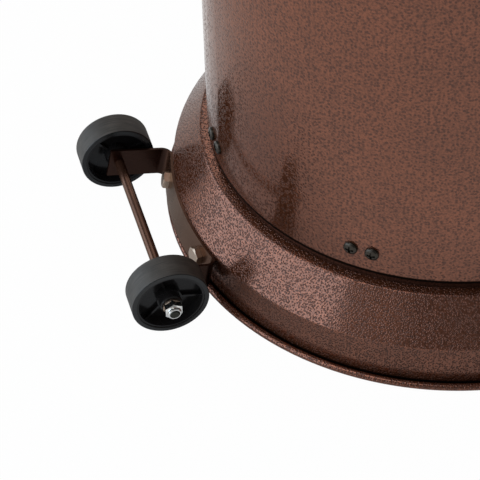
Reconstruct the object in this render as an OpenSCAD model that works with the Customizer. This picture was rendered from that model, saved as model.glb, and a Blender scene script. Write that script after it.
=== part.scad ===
// Gas patio heater.
// A pressed round base carries three legs, and the legs carry a post with the burner head and its
// reflector. A round tank housing stands on the base round the legs and lifts up along the post, so
// that a gas cylinder can be set on the deck. Two small wheels behind the base touch the floor when
// the heater is tipped back.
// The origin is on the floor under the middle of the base. +Z is up, the wheels are at +Y and the
// control knob is at -Y. Everything is in millimetres.

/* [Base] */
// Outside diameter of the base over its rolled rim
base_d = 457.2; // [440:0.1:500]
// Thickness of the pressed sheet of the base
base_t = 1.5; // [1:0.1:2]
// Diameter of the rolled bead round the rim
bead_d = 5.6; // [5:0.1:8]
// How far the upright skirt stands in from the rim
skirt_inset = 7.7; // [6.5:0.1:12]
// Height of the crease where the skirt turns into the cone
skirt_h = 37.7; // [32:0.1:50]
// Height of the cone between the crease and the ledge
cone_h = 34; // [26:0.5:45]
// How far the ledge stands out beyond the tank housing
ledge_w = 6; // [4:0.1:9]
// Height of the neck from the ledge to the deck
neck_h = 20; // [17:0.5:30]
// Gap round the neck inside the tank housing
neck_gap = 3; // [2:0.1:5]
// Middle diameter of the pressed ring that the cylinder's foot stands in
seat_ring_d = 224; // [205:1:236]
// Height of that ring above the deck
seat_ring_h = 4; // [2:0.5:6]
// Diameter of the drain hole in the middle of the deck
drain_d = 20; // [10:1:40]

/* [Wheels] */
// Diameter of a wheel over its tyre
wheel_d = 61; // [50:0.5:66]
// Width of a wheel
wheel_w = 22.2; // [16:0.2:28]
// Distance between the middles of the two wheels
wheel_track = 168.2; // [150:0.2:185]
// Height of the wheels above the floor while the heater stands upright
wheel_lift = 2; // [1:0.5:4]
// How far the axle lies behind the rim
axle_reach = 27.8; // [24:0.1:34]
// Diameter of the axle rod
axle_d = 8; // [6:0.5:10]
// Radial running clearance between a hub and the axle
axle_play = 0.08; // [0.03:0.01:0.1]
// Thickness of the tyre
tyre_t = 3.6; // [3:0.1:7]
// Thickness of the hub's walls
hub_t = 1.8; // [1.4:0.1:2.6]
// Number of ribs in a hub
hub_ribs = 3; // [3:1:8]
// How far the hub's boss stands out past the wheel's outer face
boss_over = 2; // [0.5:0.1:4]

/* [Wheel bracket] */
// Thickness of the bracket's strip
bracket_t = 2.2; // [1.8:0.1:4]
// Width of the strip, whose upper edge leans against the top of the skirt
bracket_h = 26; // [22:0.5:30]
// Angle by which the strip leans out at its lower edge, and its arms slope up to the axle
bracket_lean = 12.5; // [9:0.5:15]
// Inside radius of the bends where the strip turns out into its two arms
bend_r = 6; // [4:0.5:9]
// How far an arm runs on behind the axle
arm_end = 9; // [7:0.5:14]
// Angle of a bracket bolt on either side of the middle
bracket_bolt_angle = 11.5; // [8:0.5:12]

/* [Tank housing] */
// Outside diameter of the tank housing
housing_d = 383.4; // [374:0.2:392]
// Thickness of the tank housing's sheet
housing_t = 0.8; // [0.6:0.1:1.5]
// Height of the wall's top edge above the legs
housing_over_legs = 47.5; // [46:0.5:70]
// How far the wall hangs down past the deck
edge_drop = 12.5; // [10:0.5:15]
// Angle between neighbouring clips on each half of the housing
clip_angle_step = 50; // [40:1:55]
// Width of a clip
clip_w = 30; // [26:1:40]
// Height of a clip
clip_h = 15; // [13:0.5:20]
// Thickness of a clip
clip_t = 1.5; // [1:0.1:2]
// Distance between the two screws of a clip
clip_screw_gap = 16.5; // [14:0.5:18]
// Height of the lid's flange over the wall
lid_flange_h = 18; // [14:1:26]
// How far the lid rises to the middle
lid_rise = 12; // [6:1:20]
// Radial gap between the housing's collar and the post
collar_play = 0.5; // [0.3:0.1:1]

/* [Legs] */
// Diameter of the gas cylinder that the legs stand round
cylinder_d = 312; // [300:1:318]
// Gap between the cylinder and the legs
cylinder_gap = 7; // [5:0.5:8]
// Angle of the wide gap between the two front legs, for the cylinder
front_gap = 160; // [150:1:170]
// Width of a leg
leg_w = 45; // [40:1:52]
// Thickness of a leg
leg_t = 3; // [2:0.5:4]
// Height of the legs above the deck
leg_h = 560; // [550:5:580]
// Length of a leg's foot along the deck
foot_l = 36; // [32:1:38]
// Distance between the two bolts of a foot
leg_bolt_gap = 24; // [18:1:28]

/* [Post] */
// Outside diameter of the post
post_d = 60; // [50:1:64]
// Wall of the post
post_t = 1.5; // [1:0.1:2.5]
// Length of the post
post_h = 945; // [700:5:1100]
// Diameter of the post's lower socket plate
socket_d = 144; // [136:1:160]
// Length of the spigots inside the post
spigot_l = 50; // [40:1:70]

/* [Burner head] */
// Outside diameter of the control housing
head_d = 208; // [196:1:220]
// Height of the control housing
head_h = 150; // [145:1:180]
// Height of its flared lower part
flare_h = 60; // [50:1:66]
// Diameter of its flat floor
floor_d = 124; // [120:1:136]
// Diameter of the emitter screen at its foot
screen_d = 180; // [170:1:186]
// How much wider the emitter screen is at its top
screen_flare = 16; // [8:1:20]
// Height of the emitter screen
screen_h = 270; // [220:5:300]
// Diameter of a hole in the emitter screen
screen_hole_d = 12; // [8:0.5:14]
// Number of rows of holes in the emitter screen
screen_rows = 9; // [6:1:10]
// Number of holes in a row
screen_columns = 16; // [12:1:20]
// Diameter of the burner
burner_d = 76; // [60:1:80]
// Number of flame ports round the burner
burner_ports = 20; // [8:1:24]

/* [Controls] */
// Diameter of the control knob
knob_d = 50; // [40:1:52]
// Depth of the control knob
knob_l = 24; // [20:1:30]
// How far the knob is pushed in
knob_travel = 4; // [2:0.5:5]
// Diameter of the knob's stem
stem_d = 8; // [6:0.5:9]
// Diameter of the ignitor button
button_d = 14; // [10:0.5:16]
// How far the ignitor button is pushed in
button_travel = 5; // [3:0.5:6]
// Sideways distance from the knob to the ignitor
ignitor_x = 43; // [42:0.5:46]
// Width of the control panel
panel_w = 132; // [128:1:144]
// Height of the control panel
panel_h = 76; // [64:1:80]
// How far the panel stands out in front of the control housing
panel_proud = 14; // [12:1:20]

/* [Reflector] */
// Diameter of the reflector
reflector_d = 813; // [700:1:900]
// Height of the reflector from its rim to its middle
reflector_h = 105; // [80:1:140]
// Thickness of the reflector's sheet
reflector_t = 1; // [0.8:0.1:1.5]
// Number of pressed rings on the reflector
reflector_rings = 3; // [1:1:5]
// Height of the studs between the emitter screen and the reflector
stud_h = 162; // [140:1:200]
// Distance of the studs from the middle
stud_r = 70; // [60:1:76]

/* [Hidden] */

// Finishes
bronze = [0.42, 0.30, 0.25];
black = [0.10, 0.10, 0.10];
rubber = [0.24, 0.24, 0.24];
zinc = [0.72, 0.72, 0.70];
stainless = [0.66, 0.66, 0.67];
bare_aluminium = [0.82, 0.82, 0.83];
brass = [0.78, 0.62, 0.30];
ceramic = [0.93, 0.91, 0.86];

// Smoothness of round shapes, by size
big_fn = 144;
mid_fn = 72;
small_fn = 32;
arc_steps = 5;

// Fits
seat = 0.05;
bolt_play = 0.3;
thread_play = 0.05;
past = 1;

// M6 and M5 fasteners
m6_d = 6;
m6_af = 10;
m6_head = 4;
m6_nut = 5;
m6_washer_d = 12.5;
m6_washer_t = 1.2;
m6_over = 2.5;
m8_d = 8;
m8_af = 13;
m8_head = 5.3;
m8_nut = 6.5;
m5_d = 5;
m5_head_d = 11;
m5_head = 3.4;
m5_over = 3;
post_screw_head_d = 9;
post_screw_head = 3;

// Base, worked out
base_r = base_d / 2;
bead_r = bead_d / 2;
bead_flat = 0.4;
bead_z = bead_r - bead_flat;
skirt_r = base_r - skirt_inset;
ledge_z = skirt_h + cone_h;
ledge_rise = 1.5;
deck_z = ledge_z + neck_h;
housing_r = housing_d / 2;
housing_in_r = housing_r - housing_t;
ledge_r = housing_r + ledge_w;
neck_r = housing_in_r - neck_gap;
crease_round = 3;
flange_round = 2;
flange_lift = 0.4;
neck_round = 2;

// Legs, worked out
leg_rib = 3;
leg_r = cylinder_d / 2 + cylinder_gap + leg_rib + leg_t;
leg_angles = [90, 90 + (360 - front_gap) / 2, 90 - (360 - front_gap) / 2];
foot_in_r = leg_r - foot_l;
foot_bolt_r = leg_r - foot_l / 2;
leg_top_z = deck_z + leg_h;
leg_flat_r = socket_d / 2;
leg_flat_gap = 4;
leg_flat_in_r = post_d / 2 + leg_flat_gap;
leg_top_bolt_r = (leg_flat_r + leg_flat_in_r) / 2;

// Post, worked out
socket_t = 4;
spigot_t = 3;
post_z = leg_top_z + socket_t;
post_top_z = post_z + post_h;
spigot_r = post_d / 2 - post_t - 2 * seat;
hose_way_r = spigot_r - spigot_t;
post_screw_up = spigot_l / 2;

// Tank housing, worked out
housing_z = deck_z - edge_drop;
housing_top_z = leg_top_z + housing_over_legs;
clip_angles = [for (half = [90, 270], k = [-1:1]) half + k * clip_angle_step];
clip_gap = 3;
clip_foot_r = leg_r + clip_gap;
clip_screw_z = deck_z + clip_h / 2;
clip_screw_angle = asin(clip_screw_gap / 2 / housing_r);
lid_t = 1;
lid_round = 6;
lid_shoulder = 30;
lid_neck = 14;
lid_r = housing_r + lid_t + seat;
lid_screw_angles = [45:90:315];
lid_screw_z = housing_top_z - lid_flange_h / 2;
collar_t = 10;
collar_r = post_d / 2 + collar_t;
lid_plate_z = housing_top_z + lid_round;
lid_top_z = lid_plate_z + lid_rise;

// Wheels, worked out
wheel_r = wheel_d / 2;
axle_y = base_r + axle_reach;
axle_z = wheel_r + wheel_lift;
wheel_gap = 2.4;
end_play = 0.4;
arm_x = wheel_track / 2 - wheel_w / 2 - wheel_gap;
washer_t = 1.6;
washer_d = 1.8 * axle_d;
nut_af = 1.63 * axle_d;
nut_h = 8;
nut_x = wheel_track / 2 + wheel_w / 2 + boss_over + end_play + washer_t;
axle_over = 0.6;
axle_half = nut_x + nut_h + axle_over;
hub_r = wheel_r - tyre_t;
boss_t = 4.6;
boss_r = axle_d / 2 + boss_t;

// Bracket, worked out in its own plane, which turns about the axle until the strip's upper
// edge touches the skirt. Each bend lies outside the strip's arc and touches it and its arm.
lean_out = bracket_h / 2 * sin(bracket_lean);
strip_in_r = axle_y - (axle_y - skirt_r - seat - lean_out) / cos(bracket_lean);
strip_r = strip_in_r + bracket_t / 2;
bend_x = arm_x - bracket_t - bend_r;
bend_y = sqrt(pow(strip_r + bend_r + bracket_t / 2, 2) - pow(bend_x, 2));
strip_angle = atan2(bend_x, bend_y);

// The bracket's nuts lie on wedges, thinnest by this
wedge_r = 7.4;
wedge_min = 1;
wedge_in_r = strip_in_r - (lean_out + base_t + wedge_min) / cos(bracket_lean)
    - wedge_r * tan(bracket_lean);

// Burner head, worked out
plate_t = 3;
sheet_t = 1;
head_r = head_d / 2;
floor_z = post_top_z + plate_t;
head_bolt_r = 45;
head_bolt_angles = [45:90:315];
knob_z = floor_z + flare_h + (head_h - flare_h) / 2;
burner_floor_z = floor_z + head_h;
burner_floor_t = 1.2;
screen_z = burner_floor_z + burner_floor_t;
screen_top_z = screen_z + screen_h;
screen_r = screen_d / 2;
screen_top_r = screen_r + screen_flare / 2;
cap_t = 1.2;
reflector_z = screen_top_z + cap_t + stud_h;
elbow_up = 13;
burner_tube_r = 12.5;
burner_tube_t = 1.2;
burner_up = 14;
tilt_y = 41;

// Controls, worked out. Distances along the stem are counted from the middle towards the front.
panel_t = 2;
panel_front = head_r + panel_proud;
valve_half = 20;
valve_front = head_r - 26;
valve_back = valve_front - 40;
valve_up = 16;
bonnet_l = 14;
bonnet_r = stem_d / 2 + 8;
bonnet_front = valve_front + bonnet_l;
plug_r = stem_d / 2 + 4;
plug_play = 0.05;
plug_back = valve_back + 16;
stem_play = 0.05;
stem_pocket = plug_back + 6;
stem_back = stem_pocket + knob_travel + past;
cap_l = 2.5;
knob_gap = knob_travel + 2;
knob_back = panel_front + knob_gap;
knob_front = knob_back + knob_l;
stem_front = knob_front - 8;
inlet_y = valve_front - 20;
inlet_r = 10;
inlet_drop = 8;
outlet_l = 6;
pilot_y = valve_back + 12;
pilot_x = 10;
pilot_r = 3.5;
thermocouple_x = -3;
thermocouple_r = 2.5;
electrode_x = -16;
electrode_r = 3.1;
electrode_drop = 8;
ignitor_r = button_d / 2 + 2;
ignitor_flange_l = 3;
button_front = panel_front + ignitor_flange_l + button_travel + past;
button_back = button_front - 25;
button_pocket = button_back - button_travel - past;
ignitor_back = button_pocket - 24;
bracket_x = 24;
bracket_foot = 11;
bracket_y = [-52, -40];

// Points round a corner b of radius r, between a and c
function unit(v) = v / norm(v);
function corner(a, b, c, r) = let(
    u = unit(a - b),
    v = unit(c - b),
    half = acos(u * v) / 2,
    centre = b + unit(u + v) * r / sin(half),
    first = b + u * r / tan(half),
    start = atan2(first.y - centre.y, first.x - centre.x),
    turn = (180 - 2 * half) * sign(cross(b - a, c - b)))
    [for (i = [0:arc_steps]) let(t = start + turn * i / arc_steps) centre + r * [cos(t), sin(t)]];
function xy(p) = [p[0], p[1]];
// A path of [x, y, corner radius] with its corners rounded
function rounded(path) = let(last = len(path) - 1) [for (i = [0:last])
    each i == 0 || i == last || path[i][2] == 0
        ? [xy(path[i])]
        : corner(xy(path[i - 1]), xy(path[i]), xy(path[i + 1]), path[i][2])];
function left_of(d) = [-d.y, d.x];
// The same path moved sideways by t, to its left
function beside(p, t) = let(last = len(p) - 1) [for (i = [0:last]) let(
    before = left_of(unit(p[max(i, 1)] - p[max(i, 1) - 1])),
    after = left_of(unit(p[min(i, last - 1) + 1] - p[min(i, last - 1)])))
    p[i] + t * (before + after) / (1 + before * after)];
function reversed(list) = [for (i = [len(list) - 1:-1:0]) list[i]];

// Sheet metal of thickness t whose outer face follows the path
module sheet(path, t) {
    face = rounded(path);
    polygon(concat(face, reversed(beside(face, t))));
}

module ring(r_out, r_in, h) {
    difference() {
        cylinder(r = r_out, h = h);
        translate([0, 0, -past]) cylinder(r = r_in, h = h + 2 * past);
    }
}

// Points the child's +Z away from the middle, at this angle, distance and height
module facing_out(angle, r, z) {
    rotate([0, 0, angle]) translate([r, 0, z]) rotate([0, 90, 0]) children();
}

// Points the child's +Z to the front, starting this far in front of the middle
module facing_front(front, x = 0, z = knob_z) {
    translate([x, -front, z]) rotate([90, 0, 0]) children();
}

module hex_prism(af, h) {
    corner_r = af / 2 / cos(30);
    chamfer = 0.08 * af;
    intersection() {
        cylinder(r = corner_r, h = h, $fn = 6);
        rotate_extrude($fn = small_fn) polygon([[0, 0], [corner_r, 0], [corner_r, h - chamfer],
            [corner_r - 2 * chamfer, h], [0, h]]);
    }
}

// Head above z = 0, shank below
module hex_bolt(d, af, head, l) {
    hex_prism(af, head);
    translate([0, 0, -l]) cylinder(d = d, h = l + past, $fn = small_fn);
}

module hex_nut(d, af, h) {
    difference() {
        hex_prism(af, h);
        translate([0, 0, -past]) cylinder(r = d / 2 + thread_play, h = h + 2 * past, $fn = small_fn);
    }
}

// Domed head above z = 0 with a cross recess, shank below
module pan_screw(d, head_d, head, l) {
    edge = 0.35 * head;
    dome_steps = 5;
    slot_w = 0.16 * head_d;
    slot_l = 0.58 * head_d;
    slot_low = 0.45 * head;
    difference() {
        rotate_extrude($fn = small_fn) polygon(concat([[0, 0], [head_d / 2, 0]],
            [for (i = [0:dome_steps]) let(a = 90 * i / dome_steps)
                [head_d / 2 * cos(a), edge + (head - edge) * sin(a)]]));
        for (a = [0, 90]) rotate([0, 0, a])
            translate([-slot_l / 2, -slot_w / 2, slot_low]) cube([slot_l, slot_w, head]);
    }
    translate([0, 0, -l]) cylinder(d = d, h = l + edge, $fn = small_fn);
}

// A round rod or pipe through points that turn at right angles, with true round elbows
module pipe_run(points, r, bend) {
    last = len(points) - 1;
    for (i = [0:last - 1]) {
        along = unit(points[i + 1] - points[i]);
        from = points[i] + along * (i == 0 ? 0 : bend);
        to = points[i + 1] - along * (i == last - 1 ? 0 : bend);
        translate(from) rotate([0, acos(along.z), atan2(along.y, along.x)])
            cylinder(r = r, h = norm(to - from), $fn = small_fn);
    }
    for (i = [1:1:last - 1]) {
        u = unit(points[i] - points[i - 1]);
        v = unit(points[i + 1] - points[i]);
        n = cross(-v, u);
        c = points[i] + (v - u) * bend;
        multmatrix([[-v.x, u.x, n.x, c.x], [-v.y, u.y, n.y, c.y], [-v.z, u.z, n.z, c.z], [0, 0, 0, 1]])
            rotate_extrude(angle = 90, $fn = mid_fn) translate([bend, 0]) circle(r = r, $fn = small_fn);
    }
}

module rounded_rect(w, h, r) {
    square([w - 2 * r, h], center = true);
    square([w, h - 2 * r], center = true);
    for (x = [-1, 1], y = [-1, 1]) translate([x * (w / 2 - r), y * (h / 2 - r)])
        circle(r = r, $fn = small_fn);
}

// Places for the bolts of the feet and of the legs' tops
module leg_bolt_places(r, z) {
    for (a = leg_angles, side = [-1, 1]) rotate([0, 0, a])
        translate([r, side * leg_bolt_gap / 2, z]) children();
}

module base_shell() {
    ring_r = seat_ring_d / 2;
    ring_half = 5;
    ring_slope = 4;
    flange_z = base_t / 2 + flange_lift;
    path = [[base_r - bead_r, flange_z, 0],
        [skirt_r, flange_z, flange_round],
        [skirt_r, skirt_h, crease_round],
        [ledge_r, ledge_z, crease_round],
        [neck_r, ledge_z + ledge_rise, neck_round],
        [neck_r, deck_z, crease_round],
        [ring_r + ring_half + ring_slope, deck_z, crease_round],
        [ring_r + ring_half, deck_z + seat_ring_h, crease_round],
        [ring_r - ring_half, deck_z + seat_ring_h, crease_round],
        [ring_r - ring_half - ring_slope, deck_z, crease_round],
        [drain_d / 2, deck_z, 0]];
    color(bronze) difference() {
        union() {
            rotate_extrude($fn = big_fn) sheet(path, base_t);
            // The bead's underside is flattened where the base stands on it
            rotate_extrude($fn = big_fn) difference() {
                translate([base_r - bead_r, bead_z]) circle(r = bead_r, $fn = small_fn);
                translate([base_r - bead_d, -bead_d]) square(bead_d);
            }
        }
        leg_bolt_places(foot_bolt_r, deck_z - base_t - past)
            cylinder(d = m6_d + 2 * bolt_play, h = base_t + 2 * past, $fn = small_fn);
        bracket_bolt_places(wedge_in_r)
            cylinder(d = m8_d + 2 * bolt_play, h = strip_in_r - wedge_in_r, $fn = small_fn);
    }
}

// One bent strip with a pressed stiffening bead: foot on the deck, upright, slope and top flat
module support_leg(angle) {
    knee_drop = 60;
    foot_round = 8;
    knee_round = 30;
    top_round = 14;
    bead_in_r = leg_rib + 0.2;
    bead_end = 60;
    knee_z = leg_top_z - knee_drop;
    bead_low = deck_z + bead_end;
    bead_l = knee_z - bead_end - bead_low;
    path = [[foot_in_r, deck_z, 0],
        [leg_r, deck_z, foot_round],
        [leg_r, knee_z, knee_round],
        [leg_flat_r, leg_top_z, top_round],
        [leg_flat_in_r, leg_top_z, 0]];
    color(bronze) rotate([0, 0, angle]) difference() {
        union() {
            rotate([90, 0, 0]) translate([0, 0, -leg_w / 2]) linear_extrude(leg_w) sheet(path, leg_t);
            intersection() {
                translate([leg_r, 0, bead_low]) cylinder(r = leg_rib + leg_t, h = bead_l, $fn = small_fn);
                translate([0, -leg_w / 2, 0]) cube([leg_r, leg_w, leg_top_z]);
            }
        }
        translate([leg_r, 0, bead_low - past])
            cylinder(r = bead_in_r, h = bead_l + 2 * past, $fn = small_fn);
        for (side = [-1, 1], place = [[foot_bolt_r, deck_z], [leg_top_bolt_r, leg_top_z - leg_t]])
            translate([place[0], side * leg_bolt_gap / 2, place[1] - past])
                cylinder(d = m6_d + 2 * bolt_play, h = leg_t + 2 * past, $fn = small_fn);
    }
}

module leg_foot_bolts() {
    color(zinc) leg_bolt_places(foot_bolt_r, deck_z + leg_t)
        hex_bolt(m6_d, m6_af, m6_head, leg_t + base_t + m6_nut + m6_over);
}

module leg_foot_nuts() {
    color(zinc) leg_bolt_places(foot_bolt_r, deck_z - base_t - m6_nut) hex_nut(m6_d, m6_af, m6_nut);
}

module post_socket() {
    color(bronze) difference() {
        union() {
            translate([0, 0, leg_top_z]) cylinder(d = socket_d, h = socket_t, $fn = big_fn);
            translate([0, 0, leg_top_z]) cylinder(r = spigot_r, h = socket_t + spigot_l, $fn = mid_fn);
        }
        translate([0, 0, leg_top_z - past])
            cylinder(r = hose_way_r, h = socket_t + spigot_l + 2 * past, $fn = mid_fn);
        leg_bolt_places(leg_top_bolt_r, leg_top_z - past)
            cylinder(d = m6_d + 2 * bolt_play, h = socket_t + 2 * past, $fn = small_fn);
        post_screw_holes(post_z + post_screw_up);
    }
}

module leg_top_bolts() {
    color(zinc) leg_bolt_places(leg_top_bolt_r, post_z)
        hex_bolt(m6_d, m6_af, m6_head, socket_t + leg_t + m6_nut + m6_over);
}

module leg_top_nuts() {
    color(zinc) leg_bolt_places(leg_top_bolt_r, leg_top_z - leg_t - m6_nut)
        hex_nut(m6_d, m6_af, m6_nut);
}

// Two screws pin each end of the post to its spigot
module post_screw_holes(z) {
    for (a = [0, 180]) facing_out(a, hose_way_r - past, z)
        cylinder(d = m5_d + 2 * bolt_play, h = post_d / 2 - hose_way_r + 2 * past, $fn = small_fn);
}

module post() {
    color(bronze) difference() {
        translate([0, 0, post_z]) cylinder(d = post_d, h = post_h, $fn = mid_fn);
        translate([0, 0, post_z - past])
            cylinder(r = post_d / 2 - post_t, h = post_h + 2 * past, $fn = mid_fn);
        post_screw_holes(post_z + post_screw_up);
        post_screw_holes(post_top_z - post_screw_up);
    }
}

module post_screws() {
    color(black) for (z = [post_z + post_screw_up, post_top_z - post_screw_up], a = [0, 180])
        facing_out(a, post_d / 2, z)
            pan_screw(m5_d, post_screw_head_d, post_screw_head, post_t + spigot_t);
}

// Turns the bracket's own plane about the axle until the strip leans on the skirt
module leaning() {
    translate([0, axle_y, axle_z]) rotate([bracket_lean, 0, 0]) translate([0, -axle_y, 0]) children();
}

module bracket_bolt_places(r) {
    leaning() for (side = [-1, 1]) facing_out(90 + side * bracket_bolt_angle, r, 0) children();
}

// The strip follows the skirt and bends out at both ends into the arms that hold the axle
module wheel_bracket() {
    far = axle_y + arm_end;
    // The pieces of the bent strip run on into one another by these
    lap_angle = 0.1;
    lap = 0.2;
    // The bent strip seen along its edge
    module strip() {
        intersection() {
            difference() {
                circle(r = strip_r + bracket_t / 2, $fn = 4 * big_fn);
                circle(r = strip_r - bracket_t / 2, $fn = 4 * big_fn);
            }
            polygon([[0, 0], far * [-sin(strip_angle + lap_angle), cos(strip_angle + lap_angle)],
                far * [sin(strip_angle + lap_angle), cos(strip_angle + lap_angle)]]);
        }
        for (side = [0, 1]) mirror([side, 0]) {
            translate([arm_x - bracket_t, bend_y - lap]) square([bracket_t, far - bend_y + lap]);
            intersection() {
                translate([bend_x, bend_y]) difference() {
                    circle(r = bend_r + bracket_t, $fn = mid_fn);
                    circle(r = bend_r, $fn = mid_fn);
                }
                polygon([[bend_x, bend_y], [0, 0], [far, 0], [far, bend_y]]);
            }
        }
    }
    color(bronze) difference() {
        leaning() translate([0, 0, -bracket_h / 2]) linear_extrude(bracket_h) strip();
        translate([-base_r, axle_y, axle_z]) rotate([0, 90, 0])
            cylinder(r = axle_d / 2 + thread_play, h = base_d, $fn = small_fn);
        bracket_bolt_places(strip_in_r - past)
            cylinder(d = m8_d + 2 * bolt_play, h = bracket_t + 2 * past, $fn = small_fn);
    }
}

// Wedges that fill the gap between the upright skirt and the leaning strip, and inside one for
// each nut
module bracket_wedges() {
    // The flat end stays clear of the hollow side of the strip
    top_r = sqrt(pow(strip_in_r, 2) - pow(wedge_r, 2)) - seat;
    color(black) difference() {
        bracket_bolt_places(wedge_in_r)
            ring(wedge_r, m8_d / 2 + thread_play, top_r - wedge_in_r, $fn = small_fn);
        ring(skirt_r + seat, skirt_r - base_t - seat, skirt_h, $fn = big_fn);
    }
}

module bracket_bolts() {
    color(zinc) bracket_bolt_places(strip_in_r + bracket_t) hex_bolt(m8_d, m8_af, m8_head,
        bracket_t + strip_in_r - wedge_in_r + m8_nut + m6_over);
}

module bracket_nuts() {
    color(zinc) bracket_bolt_places(wedge_in_r) mirror([0, 0, 1]) hex_nut(m8_d, m8_af, m8_nut);
}

// Points the child's +Z out along the axle, on the left (-1) or the right (1)
module on_axle(side, x) {
    translate([side * x, axle_y, axle_z]) rotate([0, side * 90, 0]) children();
}

module axle() {
    tip = 1;
    color(bronze) translate([-axle_half, axle_y, axle_z]) rotate([0, 90, 0]) {
        translate([0, 0, tip]) cylinder(d = axle_d, h = 2 * (axle_half - tip), $fn = small_fn);
        cylinder(d1 = axle_d - 2 * tip, d2 = axle_d, h = tip, $fn = small_fn);
        translate([0, 0, 2 * axle_half - tip])
            cylinder(d1 = axle_d, d2 = axle_d - 2 * tip, h = tip, $fn = small_fn);
    }
}

module axle_washers() {
    color(zinc) for (side = [-1, 1]) {
        on_axle(side, arm_x) ring(washer_d / 2, axle_d / 2 + thread_play, washer_t, $fn = small_fn);
        on_axle(side, nut_x - washer_t)
            ring(washer_d / 2, axle_d / 2 + thread_play, washer_t, $fn = small_fn);
    }
}

// Lock nuts: a hexagon with a round collar that holds the nylon ring
module axle_nuts() {
    hex_h = 0.72 * nut_h;
    collar = 0.42 * nut_af;
    collar_edge = 0.8;
    color(zinc) for (side = [-1, 1]) on_axle(side, nut_x) difference() {
        union() {
            hex_prism(nut_af, hex_h);
            rotate_extrude($fn = small_fn) polygon([[0, 0], [collar, 0],
                [collar, nut_h - collar_edge], [collar - collar_edge, nut_h], [0, nut_h]]);
        }
        translate([0, 0, -past])
            cylinder(r = axle_d / 2 + thread_play, h = nut_h + 2 * past, $fn = small_fn);
    }
}

// Hub with a web in the middle, low ribs on both sides and a stepped boss that stands out
module wheel_hub(side) {
    flange = 0.8;
    rim_w = wheel_w - 2 * flange;
    rib_h = 0.34 * wheel_w;
    rib_turn = 16;
    step_z = 0.3 * wheel_w;
    step_r = boss_r + 1.2;
    boss_edge = 0.8;
    top_z = wheel_w / 2 + boss_over;
    color(black) on_axle(side, wheel_track / 2) difference() {
        union() {
            translate([0, 0, -rim_w / 2]) ring(hub_r, hub_r - hub_t, rim_w, $fn = mid_fn);
            translate([0, 0, -hub_t / 2]) cylinder(r = hub_r - hub_t / 2, h = hub_t, $fn = mid_fn);
            rotate_extrude($fn = small_fn) polygon([[0, -wheel_w / 2], [boss_r, -wheel_w / 2],
                [boss_r, -step_z], [step_r, -step_z], [step_r, step_z], [boss_r, step_z],
                [boss_r, top_z - boss_edge], [boss_r - boss_edge, top_z], [0, top_z]]);
            for (i = [0:hub_ribs - 1]) rotate([0, 0, rib_turn + 360 * i / hub_ribs])
                translate([boss_r, -hub_t / 2, -rib_h / 2])
                    cube([hub_r - boss_r - hub_t / 2, hub_t, rib_h]);
        }
        translate([0, 0, -wheel_w]) cylinder(r = axle_d / 2 + axle_play, h = 2 * wheel_w, $fn = small_fn);
    }
}

module wheel_tyre(side) {
    edge = 0.8;
    half = wheel_w / 2;
    color(rubber) on_axle(side, wheel_track / 2) rotate_extrude($fn = mid_fn)
        polygon(rounded([[hub_r + seat, -half, 0], [wheel_r, -half, edge], [wheel_r, half, edge],
            [hub_r + seat, half, 0]]));
}

module clip_screw_places() {
    for (a = clip_angles, side = [-1, 1])
        facing_out(a + side * clip_screw_angle, housing_r, clip_screw_z) children();
}

module lid_screw_places(r) {
    for (a = lid_screw_angles) facing_out(a, r, lid_screw_z) children();
}

// Rolled tube with a hem folded inside its lower edge
module housing_shell() {
    hem_h = 0.8 * edge_drop;
    color(bronze) difference() {
        rotate_extrude($fn = big_fn) polygon([[housing_in_r - housing_t, housing_z],
            [housing_r, housing_z], [housing_r, housing_top_z], [housing_in_r, housing_top_z],
            [housing_in_r, housing_z + hem_h], [housing_in_r - housing_t, housing_z + hem_h]]);
        clip_screw_places() translate([0, 0, -housing_t - past])
            cylinder(d = m5_d + 2 * bolt_play, h = housing_t + 2 * past, $fn = small_fn);
        lid_screw_places(housing_r) translate([0, 0, -housing_t - past])
            cylinder(d = m5_d + 2 * bolt_play, h = housing_t + 2 * past, $fn = small_fn);
    }
}

// Pressed lid with a flange over the wall and a raised middle round the post
module housing_lid() {
    step_r = lid_r - lid_shoulder;
    rise_r = collar_r + lid_neck;
    rise_round = 10;
    path = [[lid_r, housing_top_z - lid_flange_h, 0],
        [lid_r, lid_plate_z, lid_round],
        [step_r, lid_plate_z, rise_round],
        [rise_r, lid_top_z, rise_round],
        [collar_r + 2 * seat, lid_top_z, 0]];
    color(bronze) difference() {
        rotate_extrude($fn = big_fn) sheet(path, lid_t);
        lid_screw_places(lid_r) translate([0, 0, -lid_t - past])
            cylinder(d = m5_d + 2 * bolt_play, h = lid_t + 2 * past, $fn = small_fn);
    }
}

// Bush that guides the lid along the post
module housing_collar() {
    lip = 6;
    lip_t = 3;
    crown = 2;
    drop = 9;
    in_r = post_d / 2 + collar_play;
    color(black) rotate_extrude($fn = mid_fn) polygon(rounded([
        [in_r, lid_top_z - drop, 0], [collar_r, lid_top_z - drop, 1], [collar_r, lid_top_z + seat, 0],
        [collar_r + lip, lid_top_z + seat, 0], [collar_r + lip, lid_top_z + lip_t, 2],
        [in_r, lid_top_z + lip_t + crown, 1], [in_r, lid_top_z, 0]]));
}

// Angle brackets inside the wall, whose feet stand on the edge of the deck
module housing_clips() {
    clip_angle = clip_w / housing_in_r * 180 / PI;
    out_r = housing_in_r - seat;
    color(bronze) difference() {
        for (a = clip_angles) rotate([0, 0, a - clip_angle / 2])
            rotate_extrude(angle = clip_angle, $fn = 4 * big_fn) polygon([[clip_foot_r, deck_z],
                [out_r, deck_z], [out_r, deck_z + clip_h], [out_r - clip_t, deck_z + clip_h],
                [out_r - clip_t, deck_z + clip_t], [clip_foot_r, deck_z + clip_t]]);
        clip_screw_places() translate([0, 0, -housing_t - clip_t - past])
            cylinder(d = m5_d + 2 * bolt_play, h = clip_t + 2 * past, $fn = small_fn);
    }
}

module clip_screws() {
    color(black) clip_screw_places() pan_screw(m5_d, m5_head_d, m5_head, housing_t + clip_t + m5_over);
}

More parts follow.
